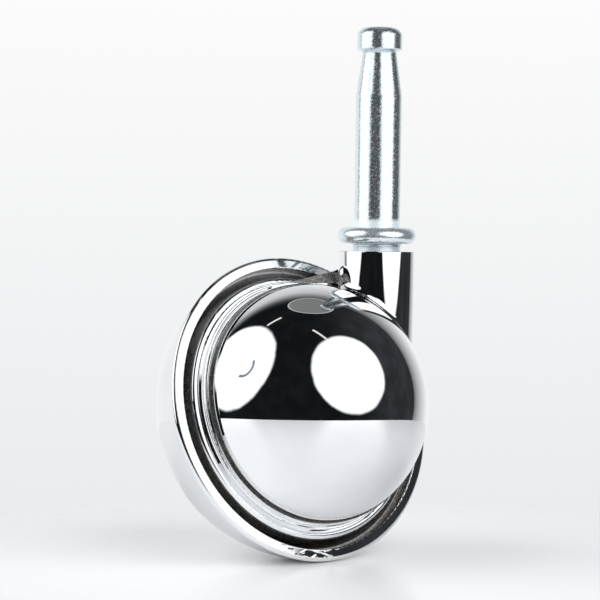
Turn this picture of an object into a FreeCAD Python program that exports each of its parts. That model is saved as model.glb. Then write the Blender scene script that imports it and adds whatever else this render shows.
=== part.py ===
"""Ball castor with a grip-neck stem, in millimetres.

The origin is the centre of the collar's top face, where the castor meets the furniture leg.
Z points up the stem. The dome of the hood faces -Y and the castor trails towards -X.
Pieces on the axle are drawn about their own Z, which is the axle, with the ball's centre at zero.
"""
import FreeCAD
import Part
import Sketcher
import math
import os

SIZES = {
    # layout of the castor
    "tilt": 17.0,             # slope of the axle above level, degrees
    "trail": 14.2,            # swivel axis to ball centre
    "ball_drop": 30.35,       # collar top to ball centre
    # wheel
    "ball_radius": 26.1,
    "bowl_wall": 1.7,
    "face_setback": 1.4,      # ball centre to the plane of the rim's face
    "rim_proud": 0.4,         # rim's bead outside the ball
    "rim_width": 2.0,         # outside of the bead to the lip of the mouth
    "rim_depth": 1.2,
    "rim_round": 0.6,
    "lip_depth": 2.0,
    "lip_round": 0.25,
    "hub_wall": 2.36,
    "hub_setback": 4.2,       # ball centre to the hub's front face
    "hub_fillet": 1.2,
    "gusset_thickness": 1.8,
    "gusset_drop": 5.8,       # hub's front face to the gussets' top
    "gusset_length": 11.0,    # hub to where the gussets run out on the bowl
    "gusset_count": 6,
    # hood
    "rim_clearance": 0.6,     # wheel's rim to the boss and the web
    "skirt_gap": 1.6,         # lip of the wheel's mouth to the skirt
    "skirt_depth": 3.7,
    "skirt_wall": 2.3,
    "flange_width": 1.52,
    "flange_round": 0.8,      # bead on the flange's edge
    "flange_crown": 0.16,     # bead's top over the flange
    "step_width": 0.43,
    "step_height": 0.76,      # bead's top to the step's top
    "step_round": 0.2,
    "step_setback": 0.45,     # ball centre back to the step's top
    "dome_wall": 2.0,
    "dome_setback": 1.2,      # ball centre back to the dome's centre
    "dome_fillet": 0.1,
    "post_radius": 6.0,
    "post_fillet": 1.5,
    "rib_thickness": 1.6,
    "rib_setback": 4.2,       # dome's centre to the lower edge of the ribs
    "rib_count": 6,
    "boss_radius": 6.64,
    "boss_round": 0.15,
    "boss_gap": 1.3,          # collar underside to the boss's top
    "boss_fillet": 1.2,
    "web_angle": 11.0,        # rise of the web's top edge from the dome to the boss, degrees
    "web_lift": 0.25,         # web's top edge over the dome, where it starts
    "web_thickness": 1.0,
    "web_end": 2.8,           # swivel axis to the end of the web's top edge
    "shoulder_reach": 4.1,    # swivel axis to the web's shoulder
    "shoulder_depth": 1.2,
    # stem
    "stem_radius": 4.0,
    "stem_body": 22.8,
    "neck_radius": 2.9,
    "neck_length": 7.8,
    "head_radius": 3.9,
    "head_height": 3.9,
    "head_round": 1.15,       # width and height of the rounding on the head's top edge
    "head_round_radius": 1.8,
    "head_bevel": 0.22,       # head's lower edge
    "collar_radius": 6.85,
    "collar_thickness": 2.84,
    "collar_fillet": 0.6,
    "journal_radius": 4.1,
    "journal_length": 14.7,   # collar underside to the stem's end
    "journal_chamfer": 0.4,
    "swivel_clearance": 0.05,
    "thrust_clearance": 0.03,
    "ball_bearing_radius": 2.5,
    "drill_half_angle": 59.0,
    "stem_wire": 1.1,
    "stem_ring_height": 5.0,  # stem's end to the ring
    "stem_groove_depth": 1.15,
    "bore_relief": 0.3,       # stem's end to the shoulder round the thrust ball
    "ring_spread": 0.1,       # middle of a ring's wire outside the shaft that it sits on
    "ring_clearance": 0.2,
    "ring_opening": 40.0,     # degrees
    # axle
    "axle_radius": 3.0,
    "axle_seat": 14.0,        # length pressed into the post
    "axle_chamfer": 0.4,
    "axle_tail": 1.2,         # groove to the axle's end
    "axle_end_gap": 0.6,      # axle's end to the bottom of the hub's bore
    "axle_wire": 0.9,
    "axle_groove_depth": 0.95,
    "bush_wall": 1.6,
    "bush_length": 12.0,
    "bush_chamfer": 0.3,
    "running_clearance": 0.04,
    "washer_thickness": 0.7,
    "washer_clearance": 0.05,
    "washer_setback": 0.2,    # post's edge to the washer's edge
    "washer_chamfer": 0.1,
}

doc = FreeCAD.newDocument("ball_castor")
sheet = doc.addObject("Spreadsheet::Sheet", "sizes")
for row, (alias, number) in enumerate(SIZES.items(), start=1):
    sheet.set("A%d" % row, alias)
    sheet.set("B%d" % row, str(number))
    sheet.setAlias("B%d" % row, alias)
doc.recompute()


class Dim:
    """A number that carries the sheet formula it comes from."""

    def __init__(self, text, value):
        self.text = text
        self.value = value

    def __add__(self, other):
        other = dim(other)
        return Dim("(%s + %s)" % (self.text, other.text), self.value + other.value)

    def __sub__(self, other):
        other = dim(other)
        return Dim("(%s - %s)" % (self.text, other.text), self.value - other.value)

    def __mul__(self, other):
        other = dim(other)
        return Dim("(%s * %s)" % (self.text, other.text), self.value * other.value)

    def __truediv__(self, other):
        other = dim(other)
        return Dim("(%s / %s)" % (self.text, other.text), self.value / other.value)

    def __neg__(self):
        return Dim("(0 - %s)" % self.text, -self.value)


def dim(number):
    if isinstance(number, Dim):
        return number
    return Dim(repr(number), float(number))


def size(alias):
    return Dim("sizes." + alias, float(sheet.get(alias)))


def root(square):
    return Dim("sqrt(%s)" % square.text, math.sqrt(square.value))


def sine(degrees):
    return Dim("sin(%s * 1 deg)" % degrees.text, math.sin(math.radians(degrees.value)))


def cosine(degrees):
    return Dim("cos(%s * 1 deg)" % degrees.text, math.cos(math.radians(degrees.value)))


def leg(hypotenuse, other):
    """Third side of a right triangle: where a sphere or circle meets a plane."""
    return root(hypotenuse * hypotenuse - other * other)


def new_body(label):
    body = doc.addObject("PartDesign::Body", label)
    body.Label = label
    return body


def new_sketch(body, label, role):
    plane = [item for item in body.Origin.OriginFeatures if item.Role == role][0]
    sketch = body.newObject("Sketcher::SketchObject", label)
    sketch.AttachmentSupport = [(plane, "")]
    sketch.MapMode = "FlatFace"
    sketch.Visibility = False
    return sketch


def line(x, y):
    return ("line", dim(x), dim(y), None, 0)


def arc(x, y, radius, turn):
    """Arc to x, y with the centre on the left of the chord for turn 1, on the right for turn -1."""
    return ("arc", dim(x), dim(y), dim(radius), turn)


def arc_geometry(start, end, radius, turn):
    chord = end - start
    half = chord.Length / 2
    rise = math.sqrt(max(radius * radius - half * half, 0.0))
    left = FreeCAD.Vector(-chord.y, chord.x, 0).normalize()
    centre = start + chord * 0.5 + left * (rise * turn)
    first, last = (start, end) if turn > 0 else (end, start)
    angles = [math.atan2(p.y - centre.y, p.x - centre.x) for p in (first, last)]
    return Part.ArcOfCircle(Part.Circle(centre, FreeCAD.Vector(0, 0, 1), radius), angles[0], angles[1])


def bind(sketch, constraint, formula):
    index = sketch.addConstraint(constraint)
    sketch.setExpression("Constraints[%d]" % index, formula.text)


def pin_vertex(sketch, item, vertex, x, y):
    """Place a vertex from the origin by two formulas; zero means on the axis."""
    for kind, number, axis in (("DistanceX", x, -2), ("DistanceY", y, -1)):
        if number.text == "0":
            sketch.addConstraint(Sketcher.Constraint("PointOnObject", item, vertex, axis))
        else:
            bind(sketch, Sketcher.Constraint(kind, -1, 1, item, vertex, number.value), number)


def outline(sketch, *steps):
    """Closed outline through the steps, with every vertex and radius bound to the sheet."""
    corners = [FreeCAD.Vector(step[1].value, step[2].value, 0) for step in steps]
    ends = []
    for index, (kind, x, y, radius, turn) in enumerate(steps):
        start, end = corners[index - 1], corners[index]
        if kind == "line":
            item = sketch.addGeometry(Part.LineSegment(start, end), False)
            ends.append((item, 1, 2))
        else:
            item = sketch.addGeometry(arc_geometry(start, end, radius.value, turn), False)
            ends.append((item, 1, 2) if turn > 0 else (item, 2, 1))
    for index, (item, first, last) in enumerate(ends):
        before = ends[index - 1]
        sketch.addConstraint(Sketcher.Constraint("Coincident", before[0], before[2], item, first))
    for (item, first, last), (kind, x, y, radius, turn) in zip(ends, steps):
        pin_vertex(sketch, item, last, x, y)
        if kind == "arc":
            bind(sketch, Sketcher.Constraint("Radius", item, radius.value), radius)


def ring_section(sketch, x, y, radius):
    """Round wire section centred at x, y."""
    circle = Part.Circle(FreeCAD.Vector(x.value, y.value, 0), FreeCAD.Vector(0, 0, 1), radius.value)
    item = sketch.addGeometry(circle, False)
    pin_vertex(sketch, item, 3, x, y)
    bind(sketch, Sketcher.Constraint("Radius", item, radius.value), radius)


def spin(body, sketch, label, kind="PartDesign::Revolution", degrees=None):
    feature = body.newObject(kind, label)
    feature.Profile = sketch
    feature.ReferenceAxis = (sketch, ["V_Axis"])
    feature.Angle = 360
    if degrees is not None:
        feature.setExpression("Angle", degrees.text)
    return feature


def pad(body, sketch, label, length, symmetric=False, reverse=False):
    feature = body.newObject("PartDesign::Pad", label)
    feature.Profile = sketch
    feature.setExpression("Length", length.text)
    feature.Midplane = symmetric
    feature.Reversed = reverse
    return feature


def polar(body, feature, label, count):
    axis = [item for item in body.Origin.OriginFeatures if item.Role == "Z_Axis"][0]
    pattern = body.newObject("PartDesign::PolarPattern", label)
    pattern.Originals = [feature]
    pattern.Axis = (axis, [""])
    pattern.Angle = 360
    pattern.setExpression("Occurrences", count.text)
    body.Tip = pattern
    return pattern


def set_on_axle(item):
    """Stand a piece on the slanted axle with its zero at the ball's centre."""
    item.Placement = FreeCAD.Placement(
        FreeCAD.Vector(), FreeCAD.Rotation(FreeCAD.Vector(1, 0, 0), 90 - size("tilt").value))
    item.setExpression("Placement.Base.x", (-size("trail")).text)
    item.setExpression("Placement.Base.z", (-size("ball_drop")).text)
    item.setExpression("Placement.Rotation.Angle", "(90 - sizes.tilt) * 1 deg")
    return item


# places along the axle, from the ball's centre
dome_centre = -size("dome_setback")
dome_foot = -size("step_setback")
flange_top = dome_foot - size("step_height")
skirt_end = flange_top - size("skirt_depth")
face = -size("face_setback")
web_back = face + size("rim_clearance")
web_front = web_back + size("web_thickness")
hub_face = -size("hub_setback")
washer_low = hub_face + size("washer_clearance")
washer_high = washer_low + size("washer_thickness")
post_end = washer_high + size("washer_clearance")
axle_top = post_end + size("axle_seat")
bush_end = hub_face - size("bush_length")
axle_wire_half = size("axle_wire") / 2
axle_groove_half = axle_wire_half + size("ring_clearance") / 2
axle_ring_place = bush_end - size("ring_clearance") - axle_wire_half
axle_end = axle_ring_place - axle_groove_half - size("axle_tail")

# radii about the axle
sliding_radius = size("axle_radius") + size("running_clearance")
bush_radius = sliding_radius + size("bush_wall")
hub_radius = bush_radius + size("hub_wall")
axle_ring_radius = size("axle_radius") + size("ring_spread")
washer_radius = size("post_radius") - size("washer_setback")
rim_radius = size("ball_radius") + size("rim_proud")
lip_radius = rim_radius - size("rim_width")
flange_radius = lip_radius - size("skirt_gap")
step_radius = flange_radius - size("flange_width")
dome_radius = step_radius - size("step_width")
web_base = dome_radius + size("web_lift")

# heights on the stem, from the collar's top
collar_foot = -size("collar_thickness")
boss_top = collar_foot - size("boss_gap")
stem_end = collar_foot - size("journal_length")
stem_wire_half = size("stem_wire") / 2
stem_groove_half = stem_wire_half + size("ring_clearance") / 2
stem_ring_place = stem_end + size("stem_ring_height")
stem_ring_radius = size("journal_radius") + size("ring_spread")
bore_radius = size("journal_radius") + size("swivel_clearance")
pocket_radius = size("ball_bearing_radius") + size("swivel_clearance")
ball_place = stem_end - size("thrust_clearance") - size("ball_bearing_radius")
drill_slope = sine(size("drill_half_angle")) / cosine(size("drill_half_angle"))
seat_radius = size("ball_bearing_radius") + size("thrust_clearance")
pocket_tip = ball_place - seat_radius / sine(size("drill_half_angle"))


def build_stem():
    body = new_body("stem")
    sketch = new_sketch(body, "stem_profile", "XZ_Plane")
    radius = size("stem_radius")
    journal = size("journal_radius")
    groove = journal - size("stem_groove_depth")
    collar_half = size("collar_thickness") / 2
    collar_flat = size("collar_radius") - collar_half
    fillet = size("collar_fillet")
    neck_top = size("stem_body") + size("neck_length")
    head = size("head_radius")
    head_top = neck_top + size("head_height")
    rounding = size("head_round")
    bevel = size("head_bevel")
    outline(
        sketch,
        line(0, stem_end),
        line(journal - size("journal_chamfer"), stem_end),
        line(journal, stem_end + size("journal_chamfer")),
        line(journal, stem_ring_place - stem_groove_half),
        line(groove, stem_ring_place - stem_groove_half),
        line(groove, stem_ring_place + stem_groove_half),
        line(journal, stem_ring_place + stem_groove_half),
        line(journal, collar_foot - fillet),
        arc(journal + fillet, collar_foot, fillet, -1),
        line(collar_flat, collar_foot),
        arc(size("collar_radius"), -collar_half, collar_half, 1),
        arc(collar_flat, 0, collar_half, 1),
        line(radius, 0),
        line(radius, size("stem_body")),
        line(size("neck_radius"), neck_top),
        line(head - bevel, neck_top),
        line(head, neck_top + bevel),
        line(head, head_top - rounding),
        arc(head - rounding, head_top, size("head_round_radius"), 1),
        line(0, head_top),
    )
    spin(body, sketch, "stem_turning")
    return body


def build_ring(label, centre_radius, wire_half, height):
    """Open ring of round wire."""
    body = new_body(label)
    sketch = new_sketch(body, label + "_section", "XZ_Plane")
    ring_section(sketch, centre_radius, height, wire_half)
    spin(body, sketch, label + "_bend", degrees=dim(360) - size("ring_opening"))
    return body


def build_thrust_ball():
    ball = doc.addObject("Part::Sphere", "thrust_ball")
    ball.Label = "thrust_ball"
    ball.setExpression("Radius", size("ball_bearing_radius").text)
    ball.setExpression("Placement.Base.z", ball_place.text)
    return ball


def build_axle():
    body = new_body("axle")
    sketch = new_sketch(body, "axle_profile", "XZ_Plane")
    radius = size("axle_radius")
    groove = radius - size("axle_groove_depth")
    bevel = size("axle_chamfer")
    outline(
        sketch,
        line(0, axle_end),
        line(radius - bevel, axle_end),
        line(radius, axle_end + bevel),
        line(radius, axle_ring_place - axle_groove_half),
        line(groove, axle_ring_place - axle_groove_half),
        line(groove, axle_ring_place + axle_groove_half),
        line(radius, axle_ring_place + axle_groove_half),
        line(radius, axle_top - bevel),
        line(radius - bevel, axle_top),
        line(0, axle_top),
    )
    spin(body, sketch, "axle_turning")
    return set_on_axle(body)


def build_sleeve(label, outer, low, high, bevel):
    """Plain ring on the axle with bevelled outer edges."""
    body = new_body(label)
    sketch = new_sketch(body, label + "_profile", "XZ_Plane")
    outline(
        sketch,
        line(sliding_radius, low),
        line(outer - bevel, low),
        line(outer, low + bevel),
        line(outer, high - bevel),
        line(outer - bevel, high),
        line(sliding_radius, high),
    )
    spin(body, sketch, label + "_turning")
    return set_on_axle(body)


def build_wheel():
    body = new_body("wheel")
    sketch = new_sketch(body, "wheel_profile", "XZ_Plane")
    ball = size("ball_radius")
    inner = ball - size("bowl_wall")
    rim_back = face - size("rim_depth")
    rounding = size("rim_round")
    bead_waist = face - rounding
    lip_round = size("lip_round")
    lip_end = face - size("lip_depth")
    fillet = size("hub_fillet")
    hub_foot = -leg(inner - fillet, hub_radius + fillet)
    fillet_scale = inner / (inner - fillet)
    bore_end = axle_end - size("axle_end_gap")
    outline(
        sketch,
        line(0, bore_end),
        line(0, -ball),
        arc(leg(ball, rim_back), rim_back, ball, 1),
        line(rim_radius, bead_waist),
        arc(rim_radius - rounding, face, rounding, 1),
        line(lip_radius + lip_round, face),
        arc(lip_radius, face - lip_round, lip_round, 1),
        line(lip_radius, lip_end),
        line(leg(inner, lip_end), lip_end),
        arc((hub_radius + fillet) * fillet_scale, hub_foot * fillet_scale, inner, -1),
        arc(hub_radius, hub_foot, fillet, -1),
        line(hub_radius, hub_face),
        line(bush_radius, hub_face),
        line(bush_radius, bore_end),
    )
    spin(body, sketch, "wheel_casting")
    rib = new_sketch(body, "gusset_profile", "XZ_Plane")
    top = hub_face - size("gusset_drop")
    middle = (hub_radius + bush_radius) / 2
    sunk = ball - size("bowl_wall") / 2
    reach = hub_radius + size("gusset_length")
    outline(
        rib,
        line(middle, top),
        line(hub_radius, top),
        line(reach, -leg(inner, reach)),
        line(reach, -leg(sunk, reach)),
        arc(middle, -leg(sunk, middle), sunk, -1),
    )
    gusset = pad(body, rib, "gusset", size("gusset_thickness"), symmetric=True)
    polar(body, gusset, "gussets", size("gusset_count"))
    return set_on_axle(body)


def lean_on_stem(sketch):
    """Turn a sketch on the YZ plane so that its upright axis is the stem, with zero at the collar's top."""
    sketch.AttachmentOffset = FreeCAD.Placement(
        FreeCAD.Vector(), FreeCAD.Rotation(FreeCAD.Vector(0, 0, -1), 90 - size("tilt").value))
    drop = size("ball_drop")
    sketch.setExpression("AttachmentOffset.Base.x", (drop * cosine(size("tilt"))).text)
    sketch.setExpression("AttachmentOffset.Base.y", (drop * sine(size("tilt"))).text)
    sketch.setExpression("AttachmentOffset.Base.z", size("trail").text)
    sketch.setExpression("AttachmentOffset.Rotation.Angle", "(90 - sizes.tilt) * 1 deg")


def seam_edges(shape, first, second):
    """Edges between a face of each kind, each kind being a list of surface names with their radii."""
    found = []
    for number, edge in enumerate(shape.Edges, start=1):
        kinds = []
        for side in shape.ancestorsOfType(edge, Part.Face):
            kinds.append((type(side.Surface).__name__, round(getattr(side.Surface, "Radius", 0.0), 3)))
        if any(kind in kinds for kind in first) and any(kind in kinds for kind in second):
            found.append("Edge%d" % number)
    return found


def add_web(body, label, start, length, back):
    """Plate beside the boss whose top edge starts just over the dome and climbs to the boss.

    Its end slopes down to where the plate's back runs into the back of the boss.
    """
    rise = size("web_angle")
    slope = sine(rise) / cosine(rise)
    crest = web_base / cosine(rise)
    end = size("trail") - size("web_end")
    heel = (size("boss_radius") + web_back * cosine(size("tilt"))) / sine(size("tilt"))
    low = dome_radius - size("dome_wall") / 2
    sketch = new_sketch(body, label + "_profile", "XY_Plane")
    sketch.setExpression("AttachmentOffset.Base.z", web_front.text)
    outline(
        sketch,
        line(start, leg(low, start)),
        arc(size("trail"), leg(low, size("trail")), low, -1),
        line(size("trail"), heel),
        line(end, crest + end * slope),
        line(start, crest + start * slope),
    )
    pad(body, sketch, label, length, reverse=back)


def build_hood():
    body = new_body("hood")
    dome = dome_radius
    inner = dome - size("dome_wall")
    ball = new_sketch(body, "dome_profile", "XZ_Plane")
    outline(
        ball,
        line(0, dome_centre - dome),
        arc(dome, dome_centre, dome, 1),
        arc(0, dome_centre + dome, dome, 1),
    )
    spin(body, ball, "dome")

    boss = new_sketch(body, "boss_profile", "YZ_Plane")
    lean_on_stem(boss)
    radius = size("boss_radius")
    edge = size("boss_round")
    outline(
        boss,
        line(0, boss_top),
        line(0, ball_place - radius),
        arc(radius, ball_place, radius, 1),
        line(radius, boss_top - edge),
        arc(radius - edge, boss_top, edge, 1),
    )
    outer_boss = spin(body, boss, "boss")
    body.Tip = outer_boss
    doc.recompute()
    boss_kinds = [(name, round(radius.value, 3)) for name in ("Cylinder", "Sphere")]
    blend = body.newObject("PartDesign::Fillet", "boss_blend")
    blend.Base = (outer_boss, seam_edges(outer_boss.Shape, boss_kinds, [("Sphere", round(dome.value, 3))]))
    blend.setExpression("Radius", size("boss_fillet").text)
    body.Tip = blend

    foot_fillet = size("dome_fillet")
    fillet_rise = dome_foot - dome_centre + foot_fillet
    fillet_reach = leg(dome + foot_fillet, fillet_rise)
    foot_blend = dome / (dome + foot_fillet)
    step_round = size("step_round")
    bead = size("flange_round")
    valley = flange_top - size("flange_crown")
    bead_foot = flange_radius - bead - leg(bead, bead - size("flange_crown"))
    skirt_inner = flange_radius - size("skirt_wall")
    hollow_foot = flange_top - size("dome_wall")
    rim = new_sketch(body, "flange_profile", "XZ_Plane")
    outline(
        rim,
        line(inner, dome_centre),
        line(skirt_inner, hollow_foot),
        line(skirt_inner, skirt_end),
        line(flange_radius, skirt_end),
        line(flange_radius, flange_top - bead),
        arc(flange_radius - bead, flange_top, bead, 1),
        arc(bead_foot, valley, bead, 1),
        line(step_radius, valley),
        line(step_radius, dome_foot - step_round),
        arc(step_radius - step_round, dome_foot, step_round, 1),
        line(fillet_reach, dome_foot),
        arc(fillet_reach * foot_blend, dome_centre + fillet_rise * foot_blend, foot_fillet, -1),
        line(inner, dome_centre + fillet_rise * foot_blend),
    )
    spin(body, rim, "flange")

    hollow = new_sketch(body, "hollow_profile", "XZ_Plane")
    outline(
        hollow,
        line(0, dome_centre - dome - size("dome_wall")),
        line(skirt_inner, dome_centre - dome - size("dome_wall")),
        line(skirt_inner, hollow_foot),
        line(inner, dome_centre),
        arc(0, dome_centre + inner, inner, 1),
    )
    spin(body, hollow, "hollow", kind="PartDesign::Groove")

    post = size("post_radius")
    post_fillet = size("post_fillet")
    post_foot = leg(inner - post_fillet, post + post_fillet)
    post_blend = inner / (inner - post_fillet)
    sunk = dome - size("dome_wall") / 2
    pillar = new_sketch(body, "post_profile", "XZ_Plane")
    outline(
        pillar,
        line(0, axle_top),
        line(size("axle_radius"), axle_top),
        line(size("axle_radius"), post_end),
        line(post, post_end),
        line(post, dome_centre + post_foot),
        arc((post + post_fillet) * post_blend, dome_centre + post_foot * post_blend, post_fillet, -1),
        line(0, dome_centre + sunk),
    )
    spin(body, pillar, "post")

    core = new_sketch(body, "core_profile", "YZ_Plane")
    lean_on_stem(core)
    outline(
        core,
        line(0, boss_top - edge),
        line(0, ball_place - radius),
        arc(radius, ball_place, radius, 1),
        line(radius, boss_top - edge),
    )
    spin(body, core, "boss_core")

    add_web(body, "web", -(web_base * sine(size("web_angle"))), size("web_thickness"), True)
    add_web(body, "shoulder", size("trail") - size("shoulder_reach"), size("shoulder_depth"), False)
    rim_relief = new_sketch(body, "relief_profile", "XZ_Plane")
    outline(
        rim_relief,
        line(lip_radius - size("rim_clearance"), web_back),
        line(lip_radius - size("rim_clearance"), dome_centre - dome),
        line(rim_radius + radius * 2, dome_centre - dome),
        line(rim_radius + radius * 2, web_back),
    )
    spin(body, rim_relief, "rim_relief", kind="PartDesign::Groove")

    rib = new_sketch(body, "rib_profile", "XZ_Plane")
    rib_low = dome_centre + size("rib_setback")
    middle = (post + size("axle_radius")) / 2
    outline(
        rib,
        line(middle, rib_low),
        line(leg(sunk, size("rib_setback")), rib_low),
        arc(middle, dome_centre + leg(sunk, middle), sunk, 1),
    )
    rib_feature = pad(body, rib, "rib", size("rib_thickness"), symmetric=True)
    polar(body, rib_feature, "ribs", size("rib_count"))

    bore = new_sketch(body, "bore_profile", "YZ_Plane")
    lean_on_stem(bore)
    groove = stem_ring_radius + stem_wire_half + size("ring_clearance")
    bore_floor = stem_end - size("bore_relief")
    bore_mouth = boss_top + size("boss_gap") / 2
    outline(
        bore,
        line(0, bore_mouth),
        line(0, pocket_tip),
        line(pocket_radius, pocket_tip + pocket_radius / drill_slope),
        line(pocket_radius, bore_floor),
        line(bore_radius, bore_floor),
        line(bore_radius, stem_ring_place - stem_groove_half),
        line(groove, stem_ring_place - stem_groove_half),
        line(groove, stem_ring_place + stem_groove_half),
        line(bore_radius, stem_ring_place + stem_groove_half),
        line(bore_radius, bore_mouth),
    )
    spin(body, bore, "stem_bore", kind="PartDesign::Groove")
    return set_on_axle(body)


pieces = [
    build_stem(),
    build_ring("stem_ring", stem_ring_radius, stem_wire_half, stem_ring_place),
    build_thrust_ball(),
    build_hood(),
    build_axle(),
    build_sleeve("thrust_washer", washer_radius, washer_low, washer_high, size("washer_chamfer")),
    build_sleeve("axle_bush", bush_radius, bush_end, hub_face, size("bush_chamfer")),
    set_on_axle(build_ring("axle_ring", axle_ring_radius, axle_wire_half, axle_ring_place)),
    build_wheel(),
]
doc.recompute()

for item in doc.Objects:
    if "Invalid" in item.State or "Error" in item.State:
        raise ValueError("%s did not build: %s" % (item.Label, item.State))
for piece in pieces:
    if piece.Shape.isNull() or not piece.Shape.isValid():
        raise ValueError("%s has no valid shape" % piece.Label)

os.makedirs("parts", exist_ok=True)
for piece in pieces:
    piece.Shape.exportStep(os.path.join("parts", piece.Label + ".step"))
    print("%-14s %9.2f mm3 %d solid" % (piece.Label, piece.Shape.Volume, len(piece.Shape.Solids)))
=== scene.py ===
import bpy
import math
from mathutils import Matrix, Vector

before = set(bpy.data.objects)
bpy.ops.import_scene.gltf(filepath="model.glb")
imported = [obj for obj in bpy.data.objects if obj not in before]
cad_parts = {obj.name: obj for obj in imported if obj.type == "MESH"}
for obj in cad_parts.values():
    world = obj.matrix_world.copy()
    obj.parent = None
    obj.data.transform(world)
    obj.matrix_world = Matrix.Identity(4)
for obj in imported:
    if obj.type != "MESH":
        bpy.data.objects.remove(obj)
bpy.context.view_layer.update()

MM = 0.001

# places on the castor, in its own frame
AXLE_TILT = math.radians(17.0)
AXLE = Vector((0.0, -math.cos(AXLE_TILT), math.sin(AXLE_TILT)))
BALL_CENTRE = Vector((-14.2, 0.0, -30.35)) * MM
DOME_CENTRE = BALL_CENTRE - AXLE * 1.2 * MM
FLOOR_HEIGHT = -56.45 * MM

# the web beside the boss: its end, its underside, its inner radius and its two faces along the axle
WEB_END = -4.1 * MM
WEB_LOW = -9.85 * MM
WEB_RADIUS = 21.45 * MM
WEB_FACES = -0.95 * MM, 0.25 * MM

# the hollow of the dome lies within this distance from the dome's centre
HOLLOW_RADIUS = 19.3 * MM

# the boss's wall: the height at which its lean begins, where that runs out into the dome, and how it grows
BOSS_LOW = -17.0 * MM
BOSS_RADII = 6.9 * MM, 9.5 * MM
BOSS_LEAN = -4.8

# the wheel's bowl: how deep the cast skin starts and its outer reach
SKIN_DEPTH = -1.9 * MM
SKIN_REACH = 25.2 * MM

# the flat of the wheel's rim: its place along the axle, its middle radius and its fall
RIM_FACE = -1.46 * MM
RIM_MIDDLE = 24.7 * MM
RIM_FALL = math.tan(math.radians(9.5))

# the knocked place on the rim: how far its scuffs reach, how deep they are, and how they are drawn out
SCUFF_PLACE = Vector((-18.2, -5.9, -54.2)) * MM
SCUFF_REACH = 3.5 * MM, 7.0 * MM
SCUFF_DEPTH = 0.045 * MM
SCUFF_STRETCH = (0.45, 1.0, 1.0)

# painted reflection: a stretch of the bowl's lip towards its top is painted paler and less metallic; its
# side, how far out that starts and is full, and how strong it gets
PAINTED_REFLECTION_SIDE = Vector((-0.39, 0.335, 0.862)).normalized()
PAINTED_REFLECTION_REACH = 17.0 * MM, 23.5 * MM
PAINTED_REFLECTION_STRENGTH = 0.6

# the pole of the dome and of the ball, where the axle's line comes out of them
POLE_RADIUS = 1.5 * MM
POLE_REACH = 20.0 * MM

# heights on the stem between which its zinc changes from worn to crisp or back, and the lean of its normals
SHANK_FOOT = 0.9 * MM, 1.7 * MM
COLLAR_TOP = -0.3 * MM, 0.2 * MM
JOURNAL_TOP = -3.6 * MM, -3.0 * MM
STEM_LEAN = math.tan(math.radians(8.5))

# how crisp the zinc's grain still is where it is worn most, and on the collar
ZINC_LEAST = 0.1
COLLAR_CRISP = 0.8

# how much the turned rings add to the cast grain's relief and to its tone
RING_RELIEF = 0.6
RING_TONE = 0.35

# depths of the fine relief
WAVE_DEPTH = 0.02 * MM
CAST_DEPTH = 0.09 * MM
ZINC_DEPTH = 0.024 * MM

# roughness from smooth to rough
CHROME_GLOSS = 0.012, 0.04
CAST_GLOSS = 0.24, 0.4
ZINC_GLOSS = 0.11, 0.34
ZINC_WORN_GLOSS = 0.3

# how metallic the worn and the crisp zinc and the as-cast skin look
ZINC_PLATING = 0.2, 0.91
CAST_PLATING = 0.8


def rgb(red, green, blue):
    return red, green, blue, 1.0


# colours of the finishes, from dark to pale where there are two
CHROME_TONES = rgb(0.83, 0.84, 0.85), rgb(0.89, 0.895, 0.9)
WEB_SHADES = rgb(0.1, 0.095, 0.09), rgb(0.66, 0.64, 0.62)
BOWL_SHADES = rgb(0.23, 0.222, 0.216), rgb(0.8, 0.775, 0.76)
# the pale colour of the painted reflection inside the top of the bowl's lip
PAINTED_REFLECTION_COLOUR = rgb(0.88, 0.86, 0.845)
ZINC_CRYSTALS = rgb(0.72, 0.79, 0.83), rgb(0.91, 0.96, 0.98)
ZINC_WORN = rgb(0.84, 0.92, 0.96)
STEEL_TONES = rgb(0.5, 0.5, 0.52), rgb(0.68, 0.68, 0.7)
BRONZE_TONES = rgb(0.42, 0.27, 0.12), rgb(0.68, 0.48, 0.26)
NYLON_TONES = rgb(0.78, 0.76, 0.69), rgb(0.88, 0.87, 0.82)
TABLE_TONES = rgb(0.89, 0.895, 0.905), rgb(0.9, 0.905, 0.91)

# dust: its colour, where a speck fades, and the random number above which a place has a speck
DUST = rgb(0.16, 0.16, 0.16)
DUST_EDGE = 0.005, 0.014
DUST_ABOVE = 0.85


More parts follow.
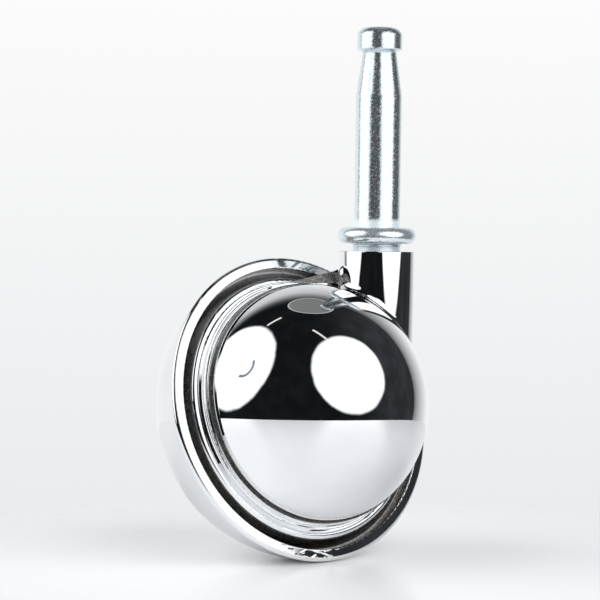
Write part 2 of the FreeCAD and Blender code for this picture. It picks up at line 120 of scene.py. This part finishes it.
class Shader:
    """Short calls that add nodes to a material's or the world's tree and link them up."""

    def __init__(self, tree):
        self.tree = tree
        tree.nodes.clear()

    def add(self, kind, settings=None, **inputs):
        node = self.tree.nodes.new(kind)
        for name, value in (settings or {}).items():
            setattr(node, name, value)
        for name, value in inputs.items():
            self.put(node.inputs[name.replace("_", " ")], value)
        return node

    def put(self, socket, value):
        if isinstance(value, bpy.types.NodeSocket):
            self.tree.links.new(value, socket)
        else:
            socket.default_value = value

    def math(self, operation, *values):
        node = self.add("ShaderNodeMath", {"operation": operation})
        for socket, value in zip(node.inputs, values):
            self.put(socket, value)
        return node.outputs[0]

    def vector(self, operation, *values):
        node = self.add("ShaderNodeVectorMath", {"operation": operation})
        for socket, value in zip(node.inputs, values):
            self.put(socket, value)
        return node.outputs["Value" if operation in ("DOT_PRODUCT", "LENGTH") else "Vector"]

    def product(self, first, *others):
        for other in others:
            first = self.math("MULTIPLY", first, other)
        return first

    def ramp(self, value, low, high, start=0.0, end=1.0, smooth=True):
        """Goes from low to high while the value goes from start to end."""
        kind = "SMOOTHSTEP" if smooth else "LINEAR"
        node = self.add("ShaderNodeMapRange", {"interpolation_type": kind}, Value=value,
                        From_Min=start, From_Max=end, To_Min=low, To_Max=high)
        return node.outputs["Result"]

    def mix(self, factor, first, second):
        node = self.add("ShaderNodeMix", {"data_type": "RGBA"})
        for name, value in (("Factor", factor), ("A", first), ("B", second)):
            self.put(node.inputs[name], value)
        colours = [socket for socket in node.outputs if socket.type == "RGBA"]
        return colours[0]

    def noise(self, place, scale, detail, roughness=0.5):
        node = self.add("ShaderNodeTexNoise", Vector=place, Scale=scale,
                        Detail=detail, Roughness=roughness)
        return node.outputs["Fac"]

    def combine(self, **parts):
        return self.add("ShaderNodeCombineXYZ", **parts).outputs[0]

    def bump(self, height, strength, distance, normal=None):
        node = self.add("ShaderNodeBump", Height=height, Strength=strength, Distance=distance)
        if normal is not None:
            self.put(node.inputs["Normal"], normal)
        return node.outputs[0]


def new_material(name):
    """A material, its shader and the place of a surface point in the castor's frame."""
    material = bpy.data.materials.new(name)
    material.use_nodes = True
    shader = Shader(material.node_tree)
    return material, shader, shader.add("ShaderNodeTexCoord").outputs["Object"]


def finish_surface(shader, colour, roughness, normal, metallic):
    surface = shader.add("ShaderNodeBsdfPrincipled", Base_Color=colour, Roughness=roughness,
                         Normal=normal, Metallic=metallic)
    shader.add("ShaderNodeOutputMaterial", Surface=surface.outputs[0])


def axle_places(shader, place):
    """How far a point is along the axle from the ball's centre, off the axle, and from that centre."""
    arm = shader.vector("SUBTRACT", place, BALL_CENTRE)
    along = shader.vector("DOT_PRODUCT", arm, AXLE)
    reach = shader.vector("LENGTH", arm)
    square = shader.math("SUBTRACT", shader.product(reach, reach), shader.product(along, along))
    return along, shader.math("SQRT", shader.math("MAXIMUM", square, 0.0)), reach


def chrome_colour(shader, place):
    """Polished plate: a little uneven in tone, with a few dust specks."""
    tone = shader.ramp(shader.noise(place, scale=90.0, detail=4.0), 0.0, 1.0, start=0.3, end=0.7)
    specks = shader.add("ShaderNodeTexVoronoi", Vector=place, Scale=150.0)
    keep = shader.add("ShaderNodeTexWhiteNoise", {"noise_dimensions": "3D"},
                      Vector=specks.outputs["Position"])
    near = shader.ramp(specks.outputs["Distance"], 1.0, 0.0, *DUST_EDGE)
    rare = shader.math("GREATER_THAN", keep.outputs["Value"], DUST_ABOVE)
    return shader.mix(shader.product(near, rare), shader.mix(tone, *CHROME_TONES), DUST)


def chrome_gloss(shader, place):
    """Roughness of the polished plate, with faint smears."""
    smear = shader.noise(place, scale=160.0, detail=5.0, roughness=0.6)
    return shader.ramp(smear, *CHROME_GLOSS, start=0.35, end=0.75)


def chrome_waves(shader, place, normal):
    """Slow waves of a polished casting."""
    slow = shader.noise(place, scale=120.0, detail=1.0)
    return shader.bump(slow, strength=0.12, distance=WAVE_DEPTH, normal=normal)


def round_pole(shader, place, centre):
    """The surface's own normal, and at the pole that of a true sphere."""
    _, radius, _ = axle_places(shader, place)
    arm = shader.vector("SUBTRACT", place, centre)
    pole = shader.product(shader.math("LESS_THAN", radius, POLE_RADIUS),
                          shader.math("GREATER_THAN", shader.vector("LENGTH", arm), POLE_REACH))
    to_world = {"vector_type": "NORMAL", "convert_from": "OBJECT", "convert_to": "WORLD"}
    turned = shader.add("ShaderNodeVectorTransform", to_world, Vector=arm)
    own_normal = shader.add("ShaderNodeNewGeometry").outputs["Normal"]
    return shader.mix(pole, own_normal, shader.vector("NORMALIZE", turned.outputs[0]))


def cast_skin(shader, place, shades):
    """As-cast grain under thin plate, with faint turned rings: its height, colour and roughness."""
    along, radius, _ = axle_places(shader, place)
    rings = shader.noise(shader.combine(X=along, Y=radius), scale=2600.0, detail=2.0)
    grain = shader.noise(place, scale=6000.0, detail=2.0, roughness=0.65)
    patches = shader.noise(place, scale=900.0, detail=2.0)
    height = shader.math("ADD", grain, shader.product(rings, RING_RELIEF))
    mottle = shader.math("ADD", grain, shader.product(rings, RING_TONE))
    colour = shader.mix(shader.ramp(mottle, 0.0, 1.0, start=0.52, end=0.9), *shades)
    return height, colour, shader.ramp(patches, *CAST_GLOSS, start=0.3, end=0.7)


def chrome_over_cast(name, centre, mask_of, shades, relief_of, painted_light_of=None):
    """Polished chrome round a centre, with the as-cast skin where the mask is 1.

    The relief is a height in metres. An optional mask paints a paler, less metallic stretch on the skin, a
    painted reflection.
    """
    material, shader, place = new_material(name)
    mask = mask_of(shader, place)
    height, cast_colour, cast_rough = cast_skin(shader, place, shades)
    colour = shader.mix(mask, chrome_colour(shader, place), cast_colour)
    gloss = chrome_gloss(shader, place)
    rougher = shader.product(shader.math("SUBTRACT", cast_rough, gloss), mask)
    roughness = shader.math("ADD", gloss, rougher)
    waves = chrome_waves(shader, place, round_pole(shader, place, centre))
    grained = shader.bump(shader.product(height, mask), strength=1.0, distance=CAST_DEPTH, normal=waves)
    normal = shader.bump(relief_of(shader, place), strength=1.0, distance=1.0, normal=grained)
    plating = shader.ramp(mask, 1.0, CAST_PLATING, smooth=False)
    # painted reflection: where this mask is 1 the skin is painted paler and made less metallic
    if painted_light_of:
        painted_light = shader.product(painted_light_of(shader, place), mask, PAINTED_REFLECTION_STRENGTH)
        colour = shader.mix(painted_light, colour, PAINTED_REFLECTION_COLOUR)
        plating = shader.math("SUBTRACT", plating, painted_light)
    finish_surface(shader, colour, roughness, normal, plating)
    return material


def hood_mask(shader, place):
    """The web beside the boss and the hollow of the dome are left as cast."""
    along, radius, _ = axle_places(shader, place)
    parts = shader.add("ShaderNodeSeparateXYZ", Vector=place).outputs
    web = shader.product(shader.math("LESS_THAN", parts["X"], WEB_END),
                         shader.math("GREATER_THAN", radius, WEB_RADIUS),
                         shader.math("GREATER_THAN", parts["Z"], WEB_LOW),
                         shader.math("GREATER_THAN", along, WEB_FACES[0]),
                         shader.math("LESS_THAN", along, WEB_FACES[1]))
    depth = shader.vector("LENGTH", shader.vector("SUBTRACT", place, DOME_CENTRE))
    return shader.math("MAXIMUM", web, shader.math("LESS_THAN", depth, HOLLOW_RADIUS))


def boss_lean(shader, place):
    """The wall of the swivel boss leans a little for the near lamps, as the stem does."""
    parts = shader.add("ShaderNodeSeparateXYZ", Vector=place).outputs
    reach = shader.vector("LENGTH", shader.combine(X=parts["X"], Y=parts["Y"]))
    rise = shader.math("MAXIMUM", shader.math("SUBTRACT", parts["Z"], BOSS_LOW), 0.0)
    return shader.product(rise, rise, BOSS_LEAN, shader.ramp(reach, 1.0, 0.0, *BOSS_RADII))


def wheel_mask(shader, place):
    """The inside of the bowl and the wall of its lip are left as cast."""
    along, _, reach = axle_places(shader, place)
    return shader.product(shader.math("LESS_THAN", along, SKIN_DEPTH),
                          shader.math("LESS_THAN", reach, SKIN_REACH))


def painted_reflection_mask(shader, place):
    """Painted reflection: marks one stretch inside the bowl's lip, towards its top, to be painted paler and
    less metallic.
    """
    side = shader.vector("DOT_PRODUCT", shader.vector("SUBTRACT", place, BALL_CENTRE), PAINTED_REFLECTION_SIDE)
    return shader.ramp(side, 0.0, 1.0, *PAINTED_REFLECTION_REACH)


def rim_relief(shader, place):
    """The flat of the rim falls a little towards its outside, and is scuffed where it was knocked."""
    along, radius, _ = axle_places(shader, place)
    crown = shader.product(shader.math("SUBTRACT", radius, RIM_MIDDLE), -RIM_FALL,
                           shader.math("GREATER_THAN", along, RIM_FACE))
    drawn_out = shader.vector("MULTIPLY", place, SCUFF_STRETCH)
    marks = shader.noise(drawn_out, scale=1000.0, detail=0.5)
    dents = shader.ramp(marks, 0.0, SCUFF_DEPTH, start=0.49, end=0.74)
    away = shader.vector("LENGTH", shader.vector("SUBTRACT", place, SCUFF_PLACE))
    knocked = shader.ramp(away, 1.0, 0.0, *SCUFF_REACH)
    return shader.math("ADD", crown, shader.product(dents, knocked))


def zinc_material():
    """Bright zinc plate over drawn steel: bluish, with a fine crystal grain, worn smooth at the foot.

    The lamps stand near, so the stem mirrors them from higher up than the dome does.
    Its normals lean for that.
    """
    material, shader, place = new_material("zinc_plate")
    up = shader.add("ShaderNodeSeparateXYZ", Vector=place).outputs["Z"]
    grain = shader.noise(place, scale=2600.0, detail=3.0, roughness=0.65)
    fleck = shader.ramp(grain, 0.0, 1.0, start=0.46, end=0.68)
    shank = shader.ramp(up, ZINC_LEAST, 1.0, *SHANK_FOOT)
    collar = shader.ramp(up, COLLAR_CRISP, 0.0, *COLLAR_TOP)
    above_journal = shader.ramp(up, ZINC_LEAST, 1.0, *JOURNAL_TOP)
    crisp = shader.product(shader.math("MAXIMUM", shank, collar), above_journal)
    colour = shader.mix(crisp, ZINC_WORN, shader.mix(fleck, *ZINC_CRYSTALS))
    crystal_gloss = shader.ramp(fleck, *ZINC_GLOSS, smooth=False)
    roughness = shader.ramp(crisp, ZINC_WORN_GLOSS, crystal_gloss, smooth=False)
    plating = shader.ramp(crisp, *ZINC_PLATING, smooth=False)
    lean = shader.bump(shader.product(up, -STEM_LEAN), strength=1.0, distance=1.0)
    normal = shader.bump(grain, strength=crisp, distance=ZINC_DEPTH, normal=lean)
    finish_surface(shader, colour, roughness, normal, plating)
    return material


def grained_material(name, tones, scale, detail, roughness, relief, metallic=1.0):
    """One grain sets the tone, the roughness and the relief, which has a strength and a depth."""
    material, shader, place = new_material(name)
    grain = shader.noise(place, scale, detail)
    finish_surface(shader, shader.mix(grain, *tones), shader.ramp(grain, *roughness),
                   shader.bump(grain, *relief), metallic)
    return material


steel = grained_material("ground_steel", STEEL_TONES, scale=2600.0, detail=4.0,
                         roughness=(0.2, 0.36), relief=(0.3, 0.02 * MM))
looks = {
    "hood": chrome_over_cast("hood_chrome", DOME_CENTRE, hood_mask, WEB_SHADES, boss_lean),
    # the wheel's bowl carries a painted reflection inside the top of its lip
    "wheel": chrome_over_cast("wheel_chrome", BALL_CENTRE, wheel_mask, BOWL_SHADES, rim_relief, painted_reflection_mask),
    "stem": zinc_material(),
    "stem_ring": steel,
    "thrust_ball": steel,
    "axle": steel,
    "axle_ring": steel,
    "axle_bush": grained_material("oiled_bronze", BRONZE_TONES, scale=3800.0, detail=3.0,
                                  roughness=(0.25, 0.45), relief=(0.4, 0.03 * MM)),
    "thrust_washer": grained_material("natural_nylon", NYLON_TONES, scale=700.0, detail=3.0,
                                      roughness=(0.4, 0.55), relief=(0.2, 0.02 * MM), metallic=0.0),
}
for node, material in looks.items():
    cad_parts[node].material_slots[0].material = material


def bearing(azimuth, elevation):
    """Unit vector to a place round the castor, in degrees. Azimuth 0 is the side that the dome faces."""
    across, up = math.radians(azimuth), math.radians(elevation)
    return Vector((math.sin(across) * math.cos(up), -math.cos(across) * math.cos(up), math.sin(up)))


# the camera stands where the photograph was taken
CAMERA_PLACE = Vector((-223.6, -269.6, -1.8)) * MM
CAMERA_RIGHT = Vector((0.7934, -0.6085, 0.0143))
CAMERA_FORWARD = Vector((0.6086, 0.7928, -0.0315))
CAMERA_LENS = 120.7
CAMERA_SENSOR = 36.0

# two large round lamps, one on each side of the camera: name, azimuth, elevation and half angle in degrees
LAMPS = (("lamp_left", -116.5, 30.5, 33), ("lamp_right", 10, 31.8, 34.2))
LAMP_DISTANCE = 0.6
LAMP_BRIGHTNESS = 2.25

# the table top, and how far from the ball it fades from the camera's sight
TABLE_CENTRE = Vector((-20.0, -15.0)) * MM
TABLE_RADIUS = 185.0 * MM
TABLE_SEGMENTS = 128
TABLE_FADE = 30 * MM, 92 * MM

# the backdrop's edges lean together, each from one place at table height to one higher up
BACKDROP_RIGHT = bearing(103, 40).cross(bearing(85, 0)).normalized()
BACKDROP_LEFT = bearing(217, 0).cross(bearing(188, 45)).normalized()
BACKDROP_TOP = math.sin(math.radians(40)), math.sin(math.radians(60))
BACKDROP_CURVE = 0.6
PAPER_TONES = rgb(0.94, 0.955, 0.96), rgb(0.7, 0.71, 0.715)

# the dark room: its lighter side, how light it gets, and its tint
ROOM_SIDE = bearing(75, 15)
ROOM_LEVELS = 0.009, 0.035
ROOM_TINT = (0.95, 1.0, 1.15)

# an oval overhead, with its pale border first: half angle and colour
OVAL = bearing(137, 67)
OVAL_RINGS = ((12.6, rgb(0.5, 0.52, 0.54)), (11.8, rgb(0.21, 0.215, 0.21)))

# how the lamps look in polished metal: degrees that the soft edge reaches out and in, and how it wavers
LAMP_COLOUR = rgb(1.36, 1.38, 1.4)
LAMP_EDGE = 1.8, -1.5
LAMP_WAVER = 0.016

# a curved bracket in front of the left lamp: its middle, turn, radius, width and the side that it takes up
BRACKET_AZIMUTH = -108.5
BRACKET_ELEVATION = 32.5
BRACKET_TURN = math.radians(22)
BRACKET_RADIUS = math.radians(8.5)
BRACKET_WIDTH = 0.0028
BRACKET_OPENING = 0.04
BRACKET = bearing(BRACKET_AZIMUTH, BRACKET_ELEVATION)
BRACKET_SIDE = (bearing(BRACKET_AZIMUTH + 90, 0) * math.cos(BRACKET_TURN)
                - bearing(BRACKET_AZIMUTH, BRACKET_ELEVATION + 90) * math.sin(BRACKET_TURN))
BRACKET_COLOUR = rgb(0.26, 0.29, 0.34)

# two thin bright rods above the lamps, each from one end to the other
RODS = ((bearing(-157, 71.5), bearing(-139, 63)), (bearing(-15, 79), bearing(4, 65)))
ROD_COLOUR = rgb(1.0, 0.97, 0.92)
ROD_EDGE = 0.008, 0.02

# what matt surfaces get from the room, and the background that the camera sees
FILL_COLOUR = rgb(0.31, 0.332, 0.352)
BACKGROUND_TONES = rgb(0.82, 0.83, 0.845), rgb(0.97, 0.97, 0.97)
FOREGROUND = rgb(0.9, 0.905, 0.92)


def make_camera():
    right = CAMERA_RIGHT.normalized()
    forward = (CAMERA_FORWARD - right * CAMERA_FORWARD.dot(right)).normalized()
    camera_data = bpy.data.cameras.new("camera")
    camera_data.sensor_width = CAMERA_SENSOR
    camera_data.lens = CAMERA_LENS
    camera_data.clip_start = 0.01
    camera = bpy.data.objects.new("camera", camera_data)
    camera.matrix_world = Matrix((right, right.cross(forward), -forward)).transposed().to_4x4()
    camera.location = CAMERA_PLACE
    bpy.context.scene.collection.objects.link(camera)
    bpy.context.scene.camera = camera


def make_lamps():
    """Area lamps that light the table. What the polished metal mirrors of them is drawn in the world."""
    for name, azimuth, elevation, half_angle in LAMPS:
        radius = LAMP_DISTANCE * math.tan(math.radians(half_angle))
        lamp_data = bpy.data.lights.new(name, "AREA")
        lamp_data.shape = "DISK"
        lamp_data.size = 2 * radius
        lamp_data.energy = LAMP_BRIGHTNESS * (math.pi * radius) ** 2
        lamp = bpy.data.objects.new(name, lamp_data)
        away = bearing(azimuth, elevation)
        lamp.location = BALL_CENTRE + away * LAMP_DISTANCE
        lamp.rotation_mode = "QUATERNION"
        lamp.rotation_quaternion = (-away).to_track_quat("-Z", "Y")
        lamp.visible_camera = False
        lamp.visible_glossy = False
        bpy.context.scene.collection.objects.link(lamp)


def table_material():
    """Satin white. Away from the castor the camera sees the pale background through it."""
    material, shader, place = new_material("table_top")
    cloud = shader.noise(place, scale=30.0, detail=2.0)
    surface = shader.add("ShaderNodeBsdfPrincipled", Base_Color=shader.mix(cloud, *TABLE_TONES),
                         Roughness=shader.ramp(cloud, 0.24, 0.26), Specular_IOR_Level=0.2)
    below_ball = (BALL_CENTRE.x, BALL_CENTRE.y, FLOOR_HEIGHT)
    reach = shader.vector("LENGTH", shader.vector("SUBTRACT", place, below_ball))
    seen = shader.add("ShaderNodeLightPath").outputs["Is Camera Ray"]
    fade = shader.product(shader.ramp(reach, 0.0, 1.0, *TABLE_FADE), seen)
    clear = shader.add("ShaderNodeBsdfTransparent")
    blend = shader.add("ShaderNodeMixShader")
    for socket, value in zip(blend.inputs, (fade, surface.outputs[0], clear.outputs[0])):
        shader.put(socket, value)
    shader.add("ShaderNodeOutputMaterial", Surface=blend.outputs[0])
    return material


def make_floor():
    """Round table top under the castor."""
    rim = []
    for index in range(TABLE_SEGMENTS):
        turn = 2 * math.pi * index / TABLE_SEGMENTS
        rim.append((TABLE_CENTRE.x + TABLE_RADIUS * math.cos(turn),
                    TABLE_CENTRE.y + TABLE_RADIUS * math.sin(turn), FLOOR_HEIGHT))
    mesh = bpy.data.meshes.new("floor")
    mesh.from_pydata(rim, [], [tuple(range(TABLE_SEGMENTS))])
    mesh.materials.append(table_material())
    floor = bpy.data.objects.new("floor", mesh)
    bpy.context.scene.collection.objects.link(floor)


def room_colour(shader, view, height):
    """Pale backdrop behind the castor, darker towards its top, and the dark room behind the camera."""
    right = shader.vector("DOT_PRODUCT", view, BACKDROP_RIGHT)
    right = shader.ramp(right, 0.0, 1.0, start=-0.04, end=0.5, smooth=False)
    left = shader.vector("DOT_PRODUCT", view, BACKDROP_LEFT)
    left = shader.ramp(left, 0.0, 1.0, start=-0.08, end=0.2)
    top = shader.ramp(height, 1.0, 0.1, *BACKDROP_TOP)
    backdrop = shader.product(shader.math("POWER", right, BACKDROP_CURVE), left, top)
    light = shader.vector("DOT_PRODUCT", view, ROOM_SIDE)
    light = shader.ramp(light, *ROOM_LEVELS, start=0.3, end=0.95)
    clutter = shader.noise(view, scale=5.0, detail=3.0)
    clutter = shader.ramp(clutter, 0.8, 1.3, start=0.35, end=0.75)
    level = shader.product(light, clutter)
    dark = shader.vector("MULTIPLY", shader.combine(X=level, Y=level, Z=level), ROOM_TINT)
    paper = shader.mix(shader.ramp(height, 0.0, 1.0, start=0.1, end=0.66), *PAPER_TONES)
    return shader.mix(backdrop, dark, paper)


def draw_oval(shader, view, room):
    """A grey oval overhead with a pale border."""
    overhead = shader.vector("DOT_PRODUCT", view, OVAL)
    for half_angle, colour in OVAL_RINGS:
        inside = shader.math("GREATER_THAN", overhead, math.cos(math.radians(half_angle)))
        room = shader.mix(inside, room, colour)
    return room


def draw_lamps(shader, view, room):
    """Bright discs with a soft edge that wavers a little."""
    waver = shader.noise(view, scale=7.0, detail=2.0)
    waver = shader.product(shader.math("SUBTRACT", waver, 0.5), LAMP_WAVER)
    for _, azimuth, elevation, half_angle in LAMPS:
        aim = shader.vector("DOT_PRODUCT", view, bearing(azimuth, elevation))
        aim = shader.math("ADD", aim, waver)
        outer, inner = [math.cos(math.radians(half_angle + step)) for step in LAMP_EDGE]
        room = shader.mix(shader.ramp(aim, 0.0, 1.0, outer, inner), room, LAMP_COLOUR)
    return room


def draw_bracket(shader, view, room):
    """Part of a ring, on one side of its middle."""
    aim = shader.vector("DOT_PRODUCT", view, BRACKET)
    ring = shader.math("COMPARE", aim, math.cos(BRACKET_RADIUS), BRACKET_WIDTH)
    side = shader.vector("DOT_PRODUCT", view, BRACKET_SIDE)
    arc = shader.product(ring, shader.math("GREATER_THAN", side, BRACKET_OPENING))
    return shader.mix(arc, room, BRACKET_COLOUR)


def draw_rods(shader, view, room):
    """Straight and thin, each between its two ends."""
    for first, second in RODS:
        across = shader.vector("DOT_PRODUCT", view, first.cross(second).normalized())
        thin = shader.ramp(shader.math("ABSOLUTE", across), 1.0, 0.0, *ROD_EDGE)
        middle = (first + second).normalized()
        aim = shader.vector("DOT_PRODUCT", view, middle)
        between = shader.math("GREATER_THAN", aim, middle.dot(first))
        room = shader.mix(shader.product(between, thin), room, ROD_COLOUR)
    return room


def make_world():
    """The studio that polished metal mirrors, a fill for matt surfaces, and the camera's background."""
    world = bpy.data.worlds.new("studio")
    bpy.context.scene.world = world
    world.use_nodes = True
    shader = Shader(world.node_tree)
    view = shader.add("ShaderNodeTexCoord").outputs["Generated"]
    height = shader.add("ShaderNodeSeparateXYZ", Vector=view).outputs["Z"]
    room = room_colour(shader, view, height)
    for draw in (draw_oval, draw_lamps, draw_bracket, draw_rods):
        room = draw(shader, view, room)
    rise = shader.ramp(height, 0.0, 1.0, start=-0.14, end=0.12, smooth=False)
    near = shader.ramp(height, 1.0, 0.0, start=-0.172, end=-0.15)
    pale = shader.mix(near, shader.mix(rise, *BACKGROUND_TONES), FOREGROUND)
    path = shader.add("ShaderNodeLightPath").outputs
    mirrored = shader.math("MAXIMUM", path["Is Glossy Ray"], path["Is Transmission Ray"])
    around = shader.mix(mirrored, FILL_COLOUR, room)
    colour = shader.mix(path["Is Camera Ray"], around, pale)
    light = shader.add("ShaderNodeBackground", Color=colour, Strength=1.0)
    shader.add("ShaderNodeOutputWorld", Surface=light.outputs[0])


make_camera()
make_lamps()
make_floor()
make_world()
bpy.context.scene.view_settings.view_transform = "Standard"
